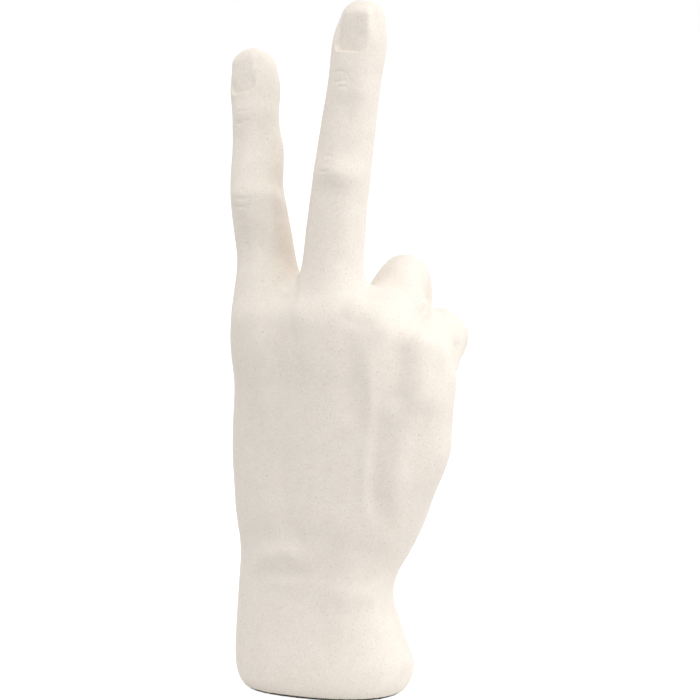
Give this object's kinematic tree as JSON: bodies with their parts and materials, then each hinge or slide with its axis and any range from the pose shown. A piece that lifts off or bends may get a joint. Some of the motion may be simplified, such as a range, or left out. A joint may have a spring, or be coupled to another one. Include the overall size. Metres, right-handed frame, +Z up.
{
  "type": "hand sculpture",
  "caption": "Standing cast-stone hand on a rounded wrist foot, index and middle fingers raised in a V, the other fingers folded under the thumb; a desk or shelf ornament.",
  "frame": {"origin": "middle of the felt pad's underside, where the sculpture rests", "axes": "+Z up along the wrist towards the raised fingertips, +X towards the little finger, +Y towards the palm side, so the back of the hand faces -Y"},
  "size_m": [0.0844, 0.0774, 0.2275],
  "materials": {
    "cast_stone": "matt, finely speckled cast stone",
    "wire": "plain drawn wire",
    "sand": "dry sand",
    "board": "raw fibreboard",
    "stopper_rubber": "moulded",
    "felt": "pressed felt"
  },
  "bodies": {
    "root": {"hand_casting": "cast_stone", "index_wire": "wire", "middle_wire": "wire", "sand_fill": "sand", "base_plate": "board", "filler_stopper": "stopper_rubber", "felt_pad": "felt"}
  },
  "joints": []
}
